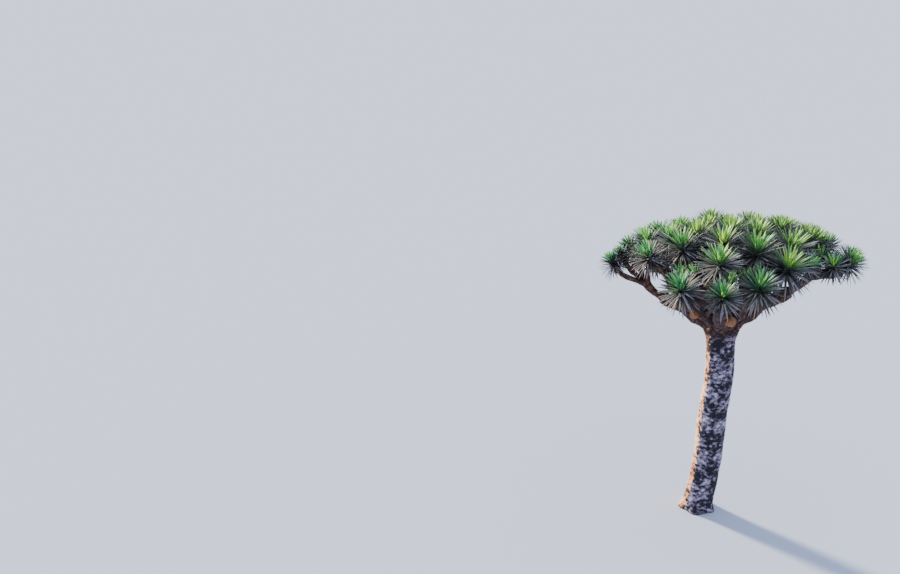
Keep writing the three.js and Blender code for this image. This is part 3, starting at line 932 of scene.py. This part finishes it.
class Recipe:
    """A material with one shader, and short ways to add nodes to it."""

    def __init__(self, name, roughness, specular):
        self.material = bpy.data.materials.new(name)
        self.material.use_nodes = True
        self.nodes = self.material.node_tree.nodes
        self.shader = self.nodes["Principled BSDF"]
        self.shader.inputs["Roughness"].default_value = roughness
        self.shader.inputs["Specular IOR Level"].default_value = specular

    def link(self, output, socket):
        self.material.node_tree.links.new(output, socket)

    def object_place(self):
        return self.nodes.new("ShaderNodeTexCoord").outputs["Object"]

    def flattened(self, place, stretch):
        """The place with its height stretched, so that what is drawn there is flatter."""
        mapping = self.nodes.new("ShaderNodeMapping")
        mapping.inputs["Scale"].default_value = (1, 1, stretch)
        self.link(place, mapping.inputs["Vector"])
        return mapping.outputs["Vector"]

    def noise(self, place, scale, detail, rough=0.6):
        texture = self.nodes.new("ShaderNodeTexNoise")
        texture.inputs["Scale"].default_value = scale
        texture.inputs["Detail"].default_value = detail
        texture.inputs["Roughness"].default_value = rough
        self.link(place, texture.inputs["Vector"])
        return texture.outputs["Fac"]

    def vertex_value(self, name):
        attribute = self.nodes.new("ShaderNodeAttribute")
        attribute.attribute_name = name
        return attribute.outputs["Fac"]

    def maths(self, kind, first, second):
        node = self.nodes.new("ShaderNodeMath")
        node.operation = kind
        for socket, value in zip(node.inputs, (first, second)):
            if isinstance(value, (int, float)):
                socket.default_value = value
            else:
                self.link(value, socket)
        return node.outputs["Value"]

    def ramp(self, value, stops):
        ramp = self.nodes.new("ShaderNodeValToRGB")
        elements = ramp.color_ramp.elements
        while len(elements) < len(stops):
            elements.new(0.5)
        for element, (place, colour) in zip(elements, stops):
            element.position = place
            element.color = (*colour, 1)
        self.link(value, ramp.inputs["Fac"])
        return ramp.outputs["Color"]

    def share(self, value, low, high):
        """From 0 where the value is low to 1 where it is high."""
        return self.ramp(value, ((low, (0, 0, 0)), (high, (1, 1, 1))))

    def mix(self, share, first, second):
        blend = self.nodes.new("ShaderNodeMix")
        blend.data_type = "RGBA"
        self.link(share, blend.inputs["Factor"])
        self.link(first, blend.inputs["A"])
        self.link(second, blend.inputs["B"])
        return blend.outputs["Result"]

    def colour(self, output):
        self.link(output, self.shader.inputs["Base Color"])

    def plain_colour(self, colour):
        self.shader.inputs["Base Color"].default_value = (*colour, 1)

    def bump(self, height, distance):
        bump = self.nodes.new("ShaderNodeBump")
        bump.inputs["Strength"].default_value = 1.0
        bump.inputs["Distance"].default_value = distance
        self.link(height, bump.inputs["Height"])
        self.link(bump.outputs["Normal"], self.shader.inputs["Normal"])


def trunk_material():
    """Dark bark under speckled crusts of lavender-grey, with sunlight painted in cream on one side, and
    bare at the top, darker there partly as painted shade.
    """
    recipe = Recipe("trunk_bark", roughness=0.9, specular=0.25)
    place = recipe.flattened(recipe.object_place(), stretch=1.6)
    fine = recipe.noise(place, scale=55, detail=6, rough=0.75)
    speckle = recipe.noise(place, scale=20, detail=5, rough=0.7)
    fine_part = recipe.maths("SUBTRACT", fine, 0.5)
    speckle_part = recipe.maths("SUBTRACT", speckle, 0.5)
    detail = recipe.maths("ADD", fine_part, speckle_part)
    crust = recipe.maths("ADD", recipe.vertex_value("crust"), detail)
    painted_sunlight = recipe.maths("ADD", recipe.vertex_value("painted_sunlight"), fine_part)
    grey = recipe.ramp(crust, GREY_CRUST)
    sunlit_cream = recipe.ramp(crust, SUNLIT_CREAM_CRUST)
    # Painted sunlight: cream crust on the side that faces the key light
    crusted = recipe.mix(recipe.share(painted_sunlight, 0.3, 0.6), grey, sunlit_cream)
    worn = recipe.maths("ADD", recipe.maths("MULTIPLY", detail, 0.6), 0.5)
    # The dark bare top, partly painted shade under the crown
    bare_and_shaded = recipe.maths("ADD", recipe.vertex_value("bare_and_shaded"), speckle_part)
    bark = recipe.ramp(worn, BARE_BARK)
    recipe.colour(recipe.mix(recipe.share(bare_and_shaded, 0.35, 0.95), crusted, bark))
    recipe.bump(fine, distance=0.006)
    return recipe.material


def limb_material():
    """Reddish-brown bark with grey crusts, turning tan and orange where it is young."""
    recipe = Recipe("bough_bark", roughness=0.85, specular=0.3)
    place = recipe.object_place()
    fine = recipe.noise(place, scale=45, detail=6, rough=0.7)
    lumps = recipe.noise(place, scale=17, detail=4)
    broad = recipe.noise(place, scale=9, detail=5)
    worn = recipe.maths("MULTIPLY", recipe.maths("ADD", fine, lumps), 0.5)
    old = recipe.ramp(worn, BARE_BARK)
    crust = recipe.ramp(fine, LIMB_CRUST)
    grown = recipe.mix(recipe.share(broad, 0.60, 0.68), old, crust)
    broad_part = recipe.maths("SUBTRACT", broad, 0.5)
    youth = recipe.maths("ADD", recipe.vertex_value("young"), broad_part)
    young = recipe.ramp(fine, YOUNG_BARK)
    recipe.colour(recipe.mix(recipe.share(youth, 0.45, 0.75), grown, young))
    recipe.bump(fine, distance=0.004)
    return recipe.material


def leaf_material(name, colour):
    recipe = Recipe(name, roughness=0.5, specular=0.2)
    recipe.plain_colour(colour)
    return recipe.material


# Pieces

# The limbs' bark: name, limbs, sides, step, fillet, youth at a limb's start and end, and nodes
BARK_PIECES = (
    ("bough_bark", boughs, BOUGH_SIDES, BOUGH_STEP, FILLET, (0.0, 0.15), "bough"),
    ("stub_bark", stubs, BOUGH_SIDES, BOUGH_STEP, STEM_FILLET, (0.1, 0.85), "bough"),
    ("stem_bark", stems, STEM_SIDES, STEM_STEP, STEM_FILLET, (0.1, 0.6), "rosettes"),
    ("twig_bark", side_twigs, TWIG_SIDES, TWIG_STEP, STEM_FILLET, (0.3, 0.8), "rosettes"),
)


def nodes_named(start):
    return sorted(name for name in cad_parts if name.startswith(start))


def make_bark():
    trunk = trunk_part([spine_of[bough] for bough in boughs])
    values = ("crust", "painted_sunlight", "bare_and_shaded")
    build_piece("trunk_bark", trunk, [trunk_material()], nodes_named("trunk"), values)
    material = limb_material()
    for name, limbs, sides, step, reach, youth, start in BARK_PIECES:
        part = limbs_part(limbs, sides, step, reach, youth)
        build_piece(name, part, [material], nodes_named(start), ("young",))


def make_leaf_piece(name, colours, points, shades, base_material):
    """One kind of leaves, each in one of the colours and with a pale base."""
    materials = [leaf_material(f"{name}_{i + 1}", colour) for i, colour in enumerate(colours)]
    one_leaf = leaf_faces()
    count, points_per_leaf, _ = points.shape
    faces = one_leaf[None, :, :] + (np.arange(count) * points_per_leaf)[:, None, None]
    tints = np.repeat(shades % len(colours), len(one_leaf)).reshape(count, -1)
    tints[:, :BASE_FACES] = len(colours)
    part = Part()
    part.add(points.reshape(-1, 3), faces.reshape(-1, 4), np.zeros(0))
    materials.append(base_material)
    build_piece(name, part, materials, nodes_named("rosettes"), face_materials=tints.ravel())


def make_leaves():
    """Every rosette's leaves, dealt out by age into kinds and by rosette and leaf into shades."""
    random = np.random.default_rng(SEED)
    leaves, shades = grow_leaves(random)
    ages = leaves.ages + random.normal(0, AGE_SPREAD, len(leaves.ages))
    points = leaf_points(leaves)
    base_material = leaf_material("leaf_base", LEAF_BASE)
    youngest = -math.inf
    for name, oldest, colours in LEAF_KINDS:
        picked = (ages > youngest) & (ages <= oldest)
        make_leaf_piece(name, colours, points[picked], shades[picked], base_material)
        youngest = oldest


# Stage


def make_camera():
    camera = bpy.data.objects.new("camera", bpy.data.cameras.new("camera"))
    camera.data.lens = LENS
    camera.data.clip_end = CLIP_END
    camera.location = CAMERA_PLACE
    camera.rotation_euler = (math.radians(90 - CAMERA_PITCH), 0, math.radians(CAMERA_TURN))
    bpy.context.scene.collection.objects.link(camera)
    bpy.context.scene.camera = camera


def floor_colour():
    """The colour that looks as bright as the sky where the floor meets it."""
    key = KEY_ENERGY * -KEY_WAY[2] / math.pi
    glows = [(key * lit, SKY_STRENGTH * sky) for lit, sky in zip(KEY_COLOUR, SKY_COLOUR)]
    return [sky / (lit + sky) for lit, sky in glows]


def make_floor():
    mesh = bpy.data.meshes.new("floor")
    corners = [(x * FLOOR_HALF, y * FLOOR_HALF, 0) for x, y in ((-1, -1), (1, -1), (1, 1), (-1, 1))]
    mesh.from_pydata(corners, [], [(0, 1, 2, 3)])
    recipe = Recipe("floor", roughness=1, specular=0)
    recipe.plain_colour(floor_colour())
    mesh.materials.append(recipe.material)
    floor = bpy.data.objects.new("floor", mesh)
    bpy.context.scene.collection.objects.link(floor)


def make_light():
    sun = bpy.data.objects.new("key_light", bpy.data.lights.new("key_light", "SUN"))
    sun.data.energy = KEY_ENERGY
    sun.data.angle = KEY_ANGLE
    sun.data.color = KEY_COLOUR
    sun.rotation_mode = "QUATERNION"
    sun.rotation_quaternion = Vector(KEY_WAY).to_track_quat("-Z", "Y")
    bpy.context.scene.collection.objects.link(sun)
    world = bpy.data.worlds.new("studio")
    world.use_nodes = True
    background = world.node_tree.nodes["Background"]
    background.inputs["Color"].default_value = (*SKY_COLOUR, 1)
    background.inputs["Strength"].default_value = SKY_STRENGTH
    bpy.context.scene.world = world


make_bark()
make_leaves()
make_floor()
make_light()
make_camera()
